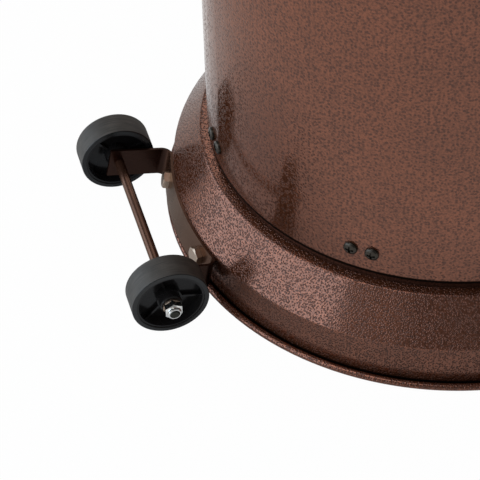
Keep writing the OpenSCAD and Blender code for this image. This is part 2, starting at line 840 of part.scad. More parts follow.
module lid_screws() {
    color(black) lid_screw_places(lid_r)
        pan_screw(m5_d, m5_head_d, m5_head, lid_t + housing_t + m5_over);
}

module head_bolt_places(z) {
    for (a = head_bolt_angles) rotate([0, 0, a]) translate([head_bolt_r, 0, z]) children();
}

// Plate on top of the post with a spigot down into it
module head_flange() {
    flange_margin = 11;
    flange_r = head_bolt_r + flange_margin;
    color(bronze) difference() {
        union() {
            translate([0, 0, post_top_z]) cylinder(r = flange_r, h = plate_t, $fn = mid_fn);
            translate([0, 0, post_top_z - spigot_l])
                cylinder(r = spigot_r, h = spigot_l + plate_t, $fn = mid_fn);
        }
        translate([0, 0, post_top_z - spigot_l - past])
            cylinder(r = hose_way_r, h = spigot_l + plate_t + 2 * past, $fn = mid_fn);
        head_bolt_places(post_top_z - past)
            cylinder(d = m6_d + 2 * bolt_play, h = plate_t + 2 * past, $fn = small_fn);
        post_screw_holes(post_top_z - post_screw_up);
    }
}

module head_bolts() {
    color(zinc) head_bolt_places(floor_z + sheet_t)
        hex_bolt(m6_d, m6_af, m6_head, sheet_t + plate_t + m6_nut + m6_over);
}

module head_nuts() {
    color(zinc) head_bolt_places(post_top_z - m6_nut) hex_nut(m6_d, m6_af, m6_nut);
}

// Flared pan with air slots round its back and sides
module control_housing() {
    slot_w = 5;
    slot_h = 0.55 * (head_h - flare_h);
    slot_reach = 4 * sheet_t;
    foot_round = 8;
    shoulder_round = 12;
    stem_gap = 4;
    ignitor_gap = 1.5;
    slot_low = floor_z + flare_h + (head_h - flare_h - slot_h) / 2 + slot_w / 2;
    path = [[hose_way_r, floor_z, 0],
        [floor_d / 2, floor_z, foot_round],
        [head_r, floor_z + flare_h, shoulder_round],
        [head_r, burner_floor_z, 0]];
    color(bronze) difference() {
        rotate_extrude($fn = big_fn) sheet(path, sheet_t);
        head_bolt_places(floor_z - past)
            cylinder(d = m6_d + 2 * bolt_play, h = sheet_t + 2 * past, $fn = small_fn);
        for (a = [-30:12:210]) {
            rotate([0, 0, a]) translate([head_r - slot_reach / 2, -slot_w / 2, slot_low])
                cube([slot_reach, slot_w, slot_h - slot_w]);
            for (z = [slot_low, slot_low + slot_h - slot_w]) facing_out(a, head_r - slot_reach / 2, z)
                cylinder(d = slot_w, h = slot_reach, $fn = small_fn);
        }
        facing_front(head_r / 2) cylinder(r = stem_d / 2 + stem_gap, h = head_r, $fn = small_fn);
        facing_front(head_r / 2, -ignitor_x)
            cylinder(r = ignitor_r + ignitor_gap, h = head_r, $fn = small_fn);
        valve_bracket_holes(floor_z - past, sheet_t + 2 * past);
    }
}

// Shallow box with rounded corners, scribed to the round wall behind it
module control_panel() {
    corner_r = 10;
    stem_gap = 2;
    color(bronze) difference() {
        facing_front(head_r / 2) linear_extrude(panel_front - head_r / 2)
            rounded_rect(panel_w, panel_h, corner_r);
        facing_front(head_r / 2 - past) linear_extrude(panel_front - head_r / 2 - panel_t + past)
            rounded_rect(panel_w - 2 * panel_t, panel_h - 2 * panel_t, corner_r - panel_t);
        translate([0, 0, knob_z - panel_h]) cylinder(r = head_r + seat, h = 2 * panel_h, $fn = big_fn);
        facing_front(head_r) cylinder(r = stem_d / 2 + stem_gap, h = head_r, $fn = small_fn);
        facing_front(head_r, -ignitor_x) cylinder(r = ignitor_r + bolt_play, h = head_r, $fn = small_fn);
    }
}

module gas_valve() {
    outlet_r = 8;
    inlet_way_r = 5;
    inlet_way_up = 5;
    outlet_way_r = 4;
    outlet_way_l = 15;
    color(brass) difference() {
        union() {
            translate([-valve_half, -valve_front, knob_z - valve_up])
                cube([2 * valve_half, valve_front - valve_back, 2 * valve_up]);
            facing_front(valve_front - past) cylinder(r = bonnet_r, h = bonnet_l + past, $fn = small_fn);
            facing_front(valve_back - outlet_l) cylinder(r = outlet_r, h = outlet_l + past, $fn = small_fn);
            translate([0, -inlet_y, knob_z - valve_up - inlet_drop])
                cylinder(r = inlet_r, h = inlet_drop + past, $fn = small_fn);
        }
        facing_front(plug_back) cylinder(r = plug_r + plug_play, h = head_r, $fn = small_fn);
        // The gas way from the inlet through to the outlet
        translate([0, -inlet_y, knob_z - valve_up - inlet_drop - past])
            cylinder(r = inlet_way_r, h = inlet_drop + inlet_way_up + past, $fn = small_fn);
        facing_front(valve_back - outlet_l - past)
            cylinder(r = outlet_way_r, h = outlet_way_l + past, $fn = small_fn);
    }
}

// Ring that keeps the plug in the bonnet
module valve_cap() {
    stem_gap = 0.4;
    color(zinc) facing_front(bonnet_front)
        ring(bonnet_r, stem_d / 2 + stem_gap, cap_l, $fn = small_fn);
}

// Flare nipple for the gas hose
module valve_inlet() {
    hex_h = 8;
    hex_af = 19;
    way_r = 3.5;
    thread_r = 7.9;
    thread_l = 16;
    nose = 3;
    z = knob_z - valve_up - inlet_drop;
    color(brass) translate([0, -inlet_y, z]) mirror([0, 0, 1]) difference() {
        union() {
            hex_prism(hex_af, hex_h);
            rotate_extrude($fn = small_fn) polygon([[0, 0], [thread_r, 0],
                [thread_r, hex_h + thread_l], [thread_r - nose, hex_h + thread_l + nose],
                [0, hex_h + thread_l + nose]]);
        }
        translate([0, 0, -past]) cylinder(r = way_r, h = hex_h + thread_l + nose + 2 * past, $fn = small_fn);
    }
}

// The two feet of the valve's bracket are screwed to the floor here
module valve_bracket_holes(z, h) {
    hole_d = 4;
    for (side = [-1, 1])
        translate([side * (bracket_x - bracket_foot / 2 - hole_d / 4), (bracket_y[0] + bracket_y[1]) / 2,
            z]) cylinder(d = hole_d, h = h, $fn = small_fn);
}

// Bent saddle under the valve
module valve_bracket() {
    t = 2;
    set_back = 4;
    top_z = knob_z - valve_up;
    color(zinc) difference() {
        union() {
            translate([-bracket_x, set_back - valve_front, top_z - t])
                cube([2 * bracket_x, valve_front + bracket_y[1] - set_back, t]);
            for (side = [0, 1]) mirror([side, 0, 0]) {
                translate([bracket_x - t, bracket_y[0], floor_z + sheet_t])
                    cube([t, bracket_y[1] - bracket_y[0], top_z - floor_z - sheet_t]);
                translate([bracket_x - bracket_foot, bracket_y[0], floor_z + sheet_t])
                    cube([bracket_foot, bracket_y[1] - bracket_y[0], t]);
            }
        }
        translate([0, -inlet_y, top_z - 2 * t]) cylinder(r = inlet_r + 1, h = 4 * t, $fn = small_fn);
        valve_bracket_holes(floor_z, 4 * t);
    }
}

// Turning plug of the valve, with a pocket in which the stem slides
module valve_plug() {
    color(brass) facing_front(plug_back + past) difference() {
        cylinder(r = plug_r, h = bonnet_front - plug_back - 1.5 * past, $fn = small_fn);
        translate([0, 0, stem_pocket - plug_back - past])
            cylinder(r = stem_d / 2 + stem_play, h = head_r, $fn = small_fn);
    }
}

module valve_stem() {
    color(zinc) facing_front(stem_back) cylinder(d = stem_d, h = stem_front - stem_back, $fn = small_fn);
}

// Round skirt, a grip bar left between two scoops, and a pointer groove
module control_knob() {
    skirt_l = 6;
    bar_w = 0.26 * knob_d;
    grip_r = 0.42 * knob_d;
    pointer_w = 1.6;
    color(black) facing_front(knob_back) difference() {
        union() {
            rotate_extrude($fn = mid_fn) polygon(rounded([[0, 0, 0], [knob_d / 2, 0, 0],
                [knob_d / 2, skirt_l, 1.5], [grip_r, skirt_l + 1.5, 1], [grip_r - 1.5, knob_l, 2.5],
                [0, knob_l, 0]]));
        }
        for (side = [-1, 1]) translate([side * (bar_w / 2 + grip_r), 0, skirt_l + 1.5])
            translate([-grip_r, -knob_d, 0]) cube([2 * grip_r, 2 * knob_d, knob_l]);
        translate([-pointer_w / 2, grip_r / 3, knob_l - 1]) cube([pointer_w, grip_r, knob_l]);
        translate([0, 0, -past])
            cylinder(r = stem_d / 2 + stem_play, h = stem_front - knob_back + 2 * past, $fn = small_fn);
    }
}

module ignitor_body() {
    flange_r = ignitor_r + 3;
    bore_r = button_d / 2 + 0.08;
    color(black) difference() {
        union() {
            facing_front(panel_front, -ignitor_x) rotate_extrude($fn = small_fn)
                polygon(rounded([[0, 0, 0], [flange_r, 0, 0], [flange_r, ignitor_flange_l, 1.5],
                    [0, ignitor_flange_l, 0]]));
            facing_front(ignitor_back, -ignitor_x)
                cylinder(r = ignitor_r, h = panel_front - ignitor_back + past, $fn = small_fn);
        }
        facing_front(button_pocket, -ignitor_x) cylinder(r = bore_r, h = head_r, $fn = small_fn);
    }
}

module ignitor_nut() {
    nut_t = 5;
    wall = 3.5;
    color(black) facing_front(panel_front - panel_t - nut_t, -ignitor_x)
        hex_nut(2 * ignitor_r, 2 * (ignitor_r + wall), nut_t);
}

module ignitor_button() {
    color(black) facing_front(button_back, -ignitor_x) rotate_extrude($fn = small_fn)
        polygon(rounded([[0, 0, 0], [button_d / 2, 0, 0], [button_d / 2, button_front - button_back, 1.5],
            [0, button_front - button_back, 0]]));
}

// Lead from the ignitor to the spark electrode
module ignitor_wire() {
    up = 24;
    wire_r = 1.5;
    bend = 6;
    color(black) pipe_run([[-ignitor_x, -ignitor_back, knob_z], [-ignitor_x, -pilot_y, knob_z],
        [-ignitor_x, -pilot_y, knob_z + up], [electrode_x, -pilot_y, knob_z + up],
        [electrode_x, -pilot_y, burner_floor_z - electrode_drop]], wire_r, bend);
}

// Elbow from the valve's outlet to the burner's tube, with the orifice on top
module gas_elbow() {
    pipe_r = 6;
    bend = 8;
    seat_t = 3;
    jet_r = 4;
    jet_l = 6;
    orifice_r = 1;
    seat_z = knob_z + elbow_up;
    color(brass) difference() {
        union() {
            pipe_run([[0, outlet_l - valve_back, knob_z], [0, 0, knob_z], [0, 0, seat_z - past]],
                pipe_r, bend);
            translate([0, 0, seat_z - seat_t]) cylinder(r = burner_tube_r, h = seat_t, $fn = small_fn);
            translate([0, 0, seat_z - past]) cylinder(r = jet_r, h = jet_l + past, $fn = small_fn);
        }
        translate([0, 0, seat_z + jet_l / 3]) cylinder(r = orifice_r, h = jet_l, $fn = small_fn);
    }
}

// Mixing tube with four air windows above the orifice
module burner_tube() {
    r_out = burner_tube_r;
    low = knob_z + elbow_up;
    high = screen_z + burner_up;
    window = 12;
    color(stainless) difference() {
        translate([0, 0, low]) ring(r_out, r_out - burner_tube_t, high - low, $fn = small_fn);
        for (a = [45:90:135]) rotate([0, 0, a])
            translate([-2 * r_out, -window / 4, low + window / 2]) cube([4 * r_out, window / 2, window]);
    }
}

// Round burner with two rows of ports round its side
module burner() {
    low = screen_z + burner_up;
    h = 28;
    t = 1.5;
    edge_round = 4;
    crown = 5;
    r = burner_d / 2;
    neck_r = burner_tube_r - burner_tube_t - 2 * seat;
    port_d = 3;
    port_rows = 6;
    port_fn = 16;
    color(stainless) difference() {
        rotate_extrude($fn = mid_fn) sheet([[neck_r, low, 0], [r, low, edge_round],
            [r, low + h, edge_round], [r / 3, low + h + crown, 0], [0, low + h + crown, 0]], t);
        for (row = [0, 1], i = [0:burner_ports - 1])
            facing_out(360 * (i + row / 2) / burner_ports, r - 3 * t, low + h / 2 + port_rows * (row - 0.5))
                cylinder(d = port_d, h = 6 * t, $fn = port_fn);
    }
}

// Holes for the pilot, the thermocouple and the electrode
module pilot_places(z) {
    hole_gap = 0.1;
    hole_h = 6;
    for (place = [[pilot_x, pilot_r], [thermocouple_x, thermocouple_r], [electrode_x, electrode_r]])
        translate([place[0], -pilot_y, z - hole_h / 2])
            cylinder(r = place[1] + hole_gap, h = hole_h, $fn = small_fn);
}

// Plate between the control housing and the emitter screen, with a rim down inside the wall
module burner_floor() {
    rim_h = 12;
    tube_gap = 0.5;
    rim_r = head_r - sheet_t - 2 * seat;
    color(stainless) difference() {
        union() {
            translate([0, 0, burner_floor_z]) cylinder(r = head_r, h = burner_floor_t, $fn = big_fn);
            translate([0, 0, burner_floor_z - rim_h])
                ring(rim_r, rim_r - burner_floor_t, rim_h + burner_floor_t / 2, $fn = big_fn);
        }
        translate([0, 0, burner_floor_z - past])
            cylinder(r = burner_tube_r + tube_gap, h = 4 * past, $fn = small_fn);
        pilot_places(burner_floor_z);
    }
}

module pilot_bracket() {
    margin = 8;
    depth = 14;
    t = 1.5;
    color(zinc) difference() {
        translate([electrode_x - margin, -pilot_y - depth / 2, screen_z])
            cube([pilot_x - electrode_x + 2 * margin, depth, t]);
        pilot_places(screen_z);
    }
}

// Supply tube from the valve, ending in a hooded pilot nozzle
module pilot_tube() {
    low = knob_z + valve_up;
    tip = screen_z + 22;
    tube_r = 2;
    nut_af = 8;
    nut_l = 6;
    sleeve_down = 5;
    sleeve_l = 24;
    hood_l = 3;
    color(bare_aluminium) translate([pilot_x, -pilot_y, 0]) {
        translate([0, 0, low]) cylinder(r = tube_r, h = tip - low, $fn = small_fn);
        translate([0, 0, low]) hex_prism(nut_af, nut_l);
        translate([0, 0, screen_z - sleeve_down]) cylinder(r = pilot_r, h = sleeve_l, $fn = small_fn);
        translate([0, 0, tip]) cylinder(r1 = 2.1 * tube_r, r2 = 1.5 * tube_r, h = hood_l, $fn = small_fn);
    }
}

module thermocouple() {
    low = knob_z + valve_up;
    tip = screen_z + 26;
    lead_r = 1.5;
    nut_af = 7;
    nut_l = 6;
    sleeve_down = 5;
    sleeve_l = 26;
    color(stainless) translate([thermocouple_x, -pilot_y, 0]) {
        translate([0, 0, low]) cylinder(r = lead_r, h = tip - low, $fn = small_fn);
        translate([0, 0, low]) hex_prism(nut_af, nut_l);
        translate([0, 0, screen_z - sleeve_down]) cylinder(r = thermocouple_r, h = sleeve_l, $fn = small_fn);
        translate([0, 0, tip]) sphere(r = lead_r, $fn = small_fn);
    }
}

// Ceramic post with the spark wire standing out of its top
module electrode() {
    post_l = 28;
    wire_r = 1;
    wire_l = 10;
    low = burner_floor_z - electrode_drop;
    color(ceramic) translate([electrode_x, -pilot_y, low]) {
        cylinder(r = electrode_r, h = post_l, $fn = small_fn);
        translate([0, 0, post_l - past]) cylinder(r = wire_r, h = wire_l + past, $fn = small_fn);
    }
}

// Shuts the gas off if the heater is tipped over
module tilt_switch() {
    w = 24;
    d = 12;
    h = 26;
    tab_w = 5;
    tab_h = 3;
    hole_d = 3;
    neck_r = 4.5;
    neck_l = 5;
    color(black) translate([0, tilt_y, floor_z + sheet_t]) difference() {
        union() {
            translate([-w / 2, 0, 0]) cube([w, d, h]);
            translate([-w / 2 - tab_w, 0, 0]) cube([w + 2 * tab_w, d, tab_h]);
            translate([0, d / 2, h]) cylinder(r = neck_r, h = neck_l, $fn = small_fn);
        }
        for (side = [-1, 1]) translate([side * (w + tab_w) / 2, d / 2, -past])
            cylinder(d = hole_d, h = tab_h + 2 * past, $fn = small_fn);
    }
}

// Cone of sheet with six-sided perforations and a flange turned in at both ends
module emitter_screen() {
    flange = 10;
    t = 0.8;
    edge_round = 2;
    margin = 24;
    reach = 6;
    pitch = (screen_h - 2 * margin) / (screen_rows - 1);
    color(stainless) difference() {
        rotate_extrude($fn = big_fn) sheet([[screen_r - flange, screen_z, 0],
            [screen_r, screen_z, edge_round], [screen_top_r, screen_top_z, edge_round],
            [screen_top_r - flange, screen_top_z, 0]], t);
        for (row = [0:screen_rows - 1], i = [0:screen_columns - 1])
            facing_out(360 * (i + row % 2 / 2) / screen_columns, screen_r - reach,
                screen_z + margin + row * pitch)
                cylinder(d = screen_hole_d, h = screen_flare / 2 + 2 * reach, $fn = 6);
    }
}

module stud_places(z) {
    for (a = [30:120:270]) rotate([0, 0, a]) translate([stud_r, 0, z]) children();
}

// Cap of the emitter screen
module screen_top() {
    rim_h = 9;
    rim_gap = 1.5;
    edge_round = 4;
    hole_r = 16;
    r = screen_top_r + cap_t + rim_gap;
    path = [[r, screen_top_z - rim_h, 0], [r, screen_top_z + cap_t, edge_round],
        [hole_r, screen_top_z + cap_t, 0]];
    color(stainless) difference() {
        rotate_extrude($fn = big_fn) sheet(path, cap_t);
        stud_places(screen_top_z - past) cylinder(d = m6_d + 2 * bolt_play, h = 4 * past, $fn = small_fn);
    }
}

// Shouldered studs, threaded at both ends
module reflector_studs() {
    low = screen_top_z + cap_t;
    shank_d = 10;
    foot_af = 13;
    foot_l = 6;
    thread_down = 10;
    thread_up = 20;
    color(stainless) stud_places(low) {
        translate([0, 0, -thread_down])
            cylinder(d = m6_d, h = stud_h + thread_down + thread_up, $fn = small_fn);
        cylinder(d = shank_d, h = stud_h, $fn = small_fn);
        hex_prism(foot_af, foot_l);
    }
}

module stud_nuts() {
    color(zinc) stud_places(screen_top_z - m6_nut) hex_nut(m6_d, m6_af, m6_nut);
}

// Spun dome: rolled rim, short upright edge, a cone with pressed rings and a flat middle
module reflector() {
    rim_r = reflector_d / 2;
    bead = 2.2;
    edge_h = 14;
    flat_margin = 26;
    flat_r = stud_r + flat_margin;
    top = reflector_z + reflector_t;
    low = top - reflector_h;
    ring_half = 7;
    ring_up = 4;
    foot_round = 3;
    crest_round = 5;
    edge_round = 6;
    crown_round = 12;
    rise = (reflector_h - edge_h) / (rim_r - flat_r);
    function cone_z(r) = low + edge_h + (rim_r - r) * rise;
    rings = [for (k = [1:reflector_rings]) let(r = rim_r + (flat_r - rim_r) * k / (reflector_rings + 1))
        each [[r + ring_half, cone_z(r + ring_half), foot_round], [r, cone_z(r) + ring_up, crest_round],
            [r - ring_half, cone_z(r - ring_half), foot_round]]];
    path = concat([[rim_r, low + bead, 0], [rim_r, low + edge_h, edge_round]], rings,
        [[flat_r, top, crown_round], [0, top, 0]]);
    color(bare_aluminium) difference() {
        union() {
            rotate_extrude($fn = big_fn) sheet(path, reflector_t);
            rotate_extrude($fn = big_fn) translate([rim_r - bead, low + bead])
                circle(r = bead, $fn = small_fn);
        }
        stud_places(reflector_z - past) cylinder(d = m6_d + 2 * bolt_play, h = 4 * past, $fn = small_fn);
    }
}

module reflector_washers() {
    washer_r = 9;
    color(zinc) stud_places(reflector_z + reflector_t)
        ring(washer_r, m6_d / 2 + thread_play, m6_washer_t, $fn = small_fn);
}

module wing_nuts() {
    boss_h = 8;
    boss_low_r = 6.5;
    boss_top_r = 5;
    wing_t = 2;
    wing_r = 5;
    wing_x = 11;
    wing_z = 9;
    web = 6;
    module wing() {
        translate([boss_low_r - 2.5, wing_z - wing_r - 2]) square(web);
        translate([wing_x, wing_z]) circle(r = wing_r, $fn = small_fn);
    }
    color(zinc) stud_places(reflector_z + reflector_t + m6_washer_t) difference() {
        union() {
            cylinder(r1 = boss_low_r, r2 = boss_top_r, h = boss_h, $fn = small_fn);
            for (side = [0, 1]) mirror([side, 0, 0]) translate([0, wing_t / 2, 0]) rotate([90, 0, 0])
                linear_extrude(wing_t) wing();
        }
        translate([0, 0, -past]) cylinder(r = m6_d / 2 + thread_play, h = 2 * boss_h, $fn = small_fn);
    }
}

base_shell();
support_leg(leg_angles[0]);  // support_leg_rear
support_leg(leg_angles[1]);  // support_leg_left
support_leg(leg_angles[2]);  // support_leg_right
leg_foot_bolts();
leg_foot_nuts();
post_socket();
leg_top_bolts();
leg_top_nuts();
post();
post_screws();
wheel_bracket();
bracket_wedges();
bracket_bolts();
bracket_nuts();
axle();
axle_washers();
axle_nuts();
wheel_hub(-1);  // wheel_hub_left
wheel_tyre(-1);  // wheel_tyre_left
wheel_hub(1);  // wheel_hub_right
wheel_tyre(1);  // wheel_tyre_right
housing_shell();
housing_lid();
housing_collar();
housing_clips();
clip_screws();
lid_screws();
head_flange();
head_bolts();
head_nuts();
control_housing();
control_panel();
gas_valve();
valve_cap();
valve_inlet();
valve_bracket();
valve_plug();
valve_stem();
control_knob();
ignitor_body();
ignitor_nut();
ignitor_button();
ignitor_wire();
gas_elbow();
burner_tube();
burner();
burner_floor();
pilot_bracket();
pilot_tube();
thermocouple();
electrode();
tilt_switch();
emitter_screen();
screen_top();
reflector_studs();
stud_nuts();
reflector();
reflector_washers();
wing_nuts();
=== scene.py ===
import math

import bmesh
import bpy
from mathutils import Matrix, Vector


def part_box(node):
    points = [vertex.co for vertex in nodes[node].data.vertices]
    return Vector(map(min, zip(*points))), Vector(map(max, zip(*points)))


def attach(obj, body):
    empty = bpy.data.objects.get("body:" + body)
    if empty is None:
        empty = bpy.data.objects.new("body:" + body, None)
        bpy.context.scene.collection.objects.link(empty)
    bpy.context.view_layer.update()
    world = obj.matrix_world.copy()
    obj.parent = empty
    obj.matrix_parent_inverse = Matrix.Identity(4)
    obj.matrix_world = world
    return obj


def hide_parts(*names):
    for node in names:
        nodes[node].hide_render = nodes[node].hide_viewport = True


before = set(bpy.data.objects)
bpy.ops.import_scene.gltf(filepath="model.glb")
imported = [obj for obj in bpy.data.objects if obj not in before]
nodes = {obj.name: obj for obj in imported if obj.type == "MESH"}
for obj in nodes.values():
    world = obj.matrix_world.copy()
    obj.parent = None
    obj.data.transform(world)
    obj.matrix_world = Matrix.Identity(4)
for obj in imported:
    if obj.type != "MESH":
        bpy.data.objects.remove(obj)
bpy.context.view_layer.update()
mm = 0.001
white = (1, 1, 1, 1)
print("frame loaded:", len(nodes), "pieces")


# colours are given as a picture shows them, 0 to 255, and turned into linear light
def tint(red, green, blue):
    def linear(value):
        c = value / 255
        return c / 12.92 if c <= 0.04045 else ((c + 0.055) / 1.055) ** 2.4

    return (linear(red), linear(green), linear(blue), 1)


# shader helpers

def newGroup(name, inputs, outputs):
    group = bpy.data.node_groups.new(name, "ShaderNodeTree")
    for label, kind, value in inputs:
        socket = group.interface.new_socket(name=label, in_out="INPUT", socket_type=kind)
        socket.default_value = value
    for label, kind in outputs:
        group.interface.new_socket(name=label, in_out="OUTPUT", socket_type=kind)
    return group, group.nodes.new("NodeGroupInput"), group.nodes.new("NodeGroupOutput")


def feed(tree, socket, value):
    if isinstance(value, bpy.types.NodeSocket):
        tree.links.new(value, socket)
    else:
        socket.default_value = value


def addNode(tree, kind, links=None, **settings):
    node = tree.nodes.new(kind)
    for key, value in settings.items():
        setattr(node, key, value)
    for socket, value in (links or {}).items():
        feed(tree, node.inputs[socket], value)
    return node


def useGroup(tree, group, values=None):
    return addNode(tree, "ShaderNodeGroup", values, node_tree=group).outputs


def mathNode(tree, operation, first, second=0.5):
    return addNode(tree, "ShaderNodeMath", {0: first, 1: second}, operation=operation).outputs[0]


def times(tree, first, second):
    return mathNode(tree, "MULTIPLY", first, second)


def remap(tree, value, low, high, toLow=0.0, toHigh=1.0, smooth=True):
    ends = {"Value": value, "From Min": low, "From Max": high, "To Min": toLow, "To Max": toHigh}
    kind = "SMOOTHSTEP" if smooth else "LINEAR"
    return addNode(tree, "ShaderNodeMapRange", ends, interpolation_type=kind, clamp=True).outputs[0]


noiseEnds = (0.3, 0.7)  # nearly all of a noise lies between these


def spread(tree, value, low, high):
    return remap(tree, value, *noiseEnds, low, high)


def mixColour(tree, factor, first, second, blend="MIX"):
    node = addNode(tree, "ShaderNodeMix", data_type="RGBA", blend_type=blend)
    for index, value in ((0, factor), (6, first), (7, second)):
        feed(tree, node.inputs[index], value)
    return node.outputs[2]


def toneColour(tree, colour, tone):
    grey = addNode(tree, "ShaderNodeCombineColor", {0: tone, 1: tone, 2: tone}).outputs[0]
    return mixColour(tree, 1.0, colour, grey, "MULTIPLY")


def noise(tree, vector, scale, detail=1.0, roughness=0.5):
    shape = {"Vector": vector, "Scale": scale, "Detail": detail, "Roughness": roughness, "Distortion": 0.0}
    return addNode(tree, "ShaderNodeTexNoise", shape).outputs[0]


def objectPlace(tree):
    return addNode(tree, "ShaderNodeTexCoord").outputs["Object"]


def objectAxes(tree):
    return addNode(tree, "ShaderNodeSeparateXYZ", {0: objectPlace(tree)}).outputs


def fromAxis(tree, axes):
    squares = [times(tree, axes[index], axes[index]) for index in (0, 1)]
    return mathNode(tree, "SQRT", mathNode(tree, "ADD", *squares))


# hammered enamel: small craters in a wavy coat, with slow changes of tone over the sheet
hammerMarks = {"random": 0.75, "waveScale": 1.6, "uneven": 0.25, "craterFloor": 0.5, "waveHeight": 0.14,
               "craterDepth": 0.5, "driftScale": 0.05}
hammer, hammerIn, hammerOut = newGroup(
    "hammeredEnamel",
    [("Scale", "NodeSocketFloat", 400.0), ("Crater Size", "NodeSocketFloat", 0.5)],
    [("Craters", "NodeSocketFloat"), ("Height", "NodeSocketFloat"), ("Drift", "NodeSocketFloat"),
     ("Grain", "NodeSocketFloat")])
place = objectPlace(hammer)
scale, craterSize = hammerIn.outputs["Scale"], hammerIn.outputs["Crater Size"]
cells = addNode(hammer, "ShaderNodeTexVoronoi",
                {"Vector": place, "Scale": scale, "Randomness": hammerMarks["random"]}, feature="F1")
waves = noise(hammer, place, times(hammer, scale, hammerMarks["waveScale"]))
swing = times(hammer, mathNode(hammer, "SUBTRACT", waves, 0.5), hammerMarks["uneven"])
uneven = mathNode(hammer, "ADD", cells.outputs["Distance"], swing)
craters = remap(hammer, uneven, craterSize, times(hammer, craterSize, hammerMarks["craterFloor"]))
height = mathNode(hammer, "SUBTRACT", times(hammer, waves, hammerMarks["waveHeight"]),
                  times(hammer, craters, hammerMarks["craterDepth"]))
drift = noise(hammer, place, times(hammer, scale, hammerMarks["driftScale"]), detail=2.0, roughness=0.6)
for label, value in {"Craters": craters, "Height": height, "Grain": waves, "Drift": drift}.items():
    hammer.links.new(value, hammerOut.inputs[label])

# fine grain for rubber, moulded plastic and the smooth paint
grain, grainIn, grainOut = newGroup(
    "mouldGrain", [("Scale", "NodeSocketFloat", 900.0)],
    [("Height", "NodeSocketFloat"), ("Tone", "NodeSocketFloat")])
grainTone = 0.06  # the patches of tone, as a share of the grain's scale
place = objectPlace(grain)
scale = grainIn.outputs["Scale"]
grain.links.new(noise(grain, place, scale, detail=2.0, roughness=0.6), grainOut.inputs["Height"])
grain.links.new(noise(grain, place, times(grain, scale, grainTone), detail=2.0), grainOut.inputs["Tone"])

# lines left by turning or spinning, which follow the distance from the post's axis and the height
turned, turnedIn, turnedOut = newGroup(
    "turnedLines", [("Scale", "NodeSocketFloat", 900.0), ("Streaks", "NodeSocketFloat", 6.0)],
    [("Lines", "NodeSocketFloat"), ("Patches", "NodeSocketFloat")])
place = objectPlace(turned)
axes = addNode(turned, "ShaderNodeSeparateXYZ", {0: place}).outputs
scale = turnedIn.outputs["Scale"]
rings = addNode(turned, "ShaderNodeCombineXYZ",
                {0: times(turned, fromAxis(turned, axes), scale), 1: times(turned, axes[2], scale)})
lines = noise(turned, rings.outputs[0], 1.0, detail=2.0, roughness=0.7)
patches = noise(turned, place, turnedIn.outputs["Streaks"], detail=2.0, roughness=0.55)
turned.links.new(lines, turnedOut.inputs["Lines"])
turned.links.new(patches, turnedOut.inputs["Patches"])


def newMaterial(name, **constants):
    material = bpy.data.materials.new(name)
    material.use_nodes = True
    tree = material.node_tree
    shader = tree.nodes["Principled BSDF"]
    for label, value in constants.items():
        shader.inputs[label.replace("_", " ")].default_value = value
    return material, tree, shader


def dress(tree, shader, colour, rough):
    tree.links.new(colour, shader.inputs["Base Color"])
    tree.links.new(rough, shader.inputs["Roughness"])


def bumpFrom(tree, shader, height, strength, distance):
    bump = addNode(tree, "ShaderNodeBump", {"Height": height, "Strength": strength, "Distance": distance})
    tree.links.new(bump.outputs[0], shader.inputs["Normal"])


bronze = {"net": tint(101, 57, 38), "crater": tint(56, 27, 18), "edge": tint(218, 212, 209), "metallic": 0.7,
          "specular": 1.0, "ior": 1.75, "roughness": 0.1, "craterRough": 0.32, "craterSize": 0.53,
          "craterScale": 620.0, "craterTone": 0.7, "relief": 1.0, "depth": 0.5 * mm, "grain": 0.36,
          "tone": 1.0, "driftFrom": 0.92, "driftTo": 1.06}
# painted shade darkens the groove between the skirt of the base and its rolled rim, and the gap under the
# housing's hem
baseRim = {"grain": 0.4, "craterTone": 0.8, "paintedShadeRough": 0.7,
           "grooveR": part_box("base_shell")[1][0] - 5.2 * mm, "grooveFade": 0.6 * mm, "grooveZ": 4.5 * mm,
           "grooveFullZ": 2.7 * mm, "groove": tint(16, 9, 6),
           "gapR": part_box("housing_shell")[1][0] - 0.8 * mm, "gapFade": 2.0 * mm, "gap": tint(62, 36, 27),
           "gapTop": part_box("housing_shell")[0][2] - 1.0 * mm, "gapDepth": 7.0 * mm, "gapFootFade": 1.0 * mm}
# the housing's sheet took the same paint flatter, and the lowest millimetres of its hem carry painted shade
housing = {"relief": 0.4, "depth": 0.4 * mm, "tone": 1.13, "craterScale": 380.0, "grain": 0.26,
           "craterTone": 0.6, "paintedShadeRough": 0.5, "hemAt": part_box("housing_shell")[0][2], "hemFrom": 3.2 * mm,
           "hemFull": 1.6 * mm, "hem": tint(12, 8, 6)}


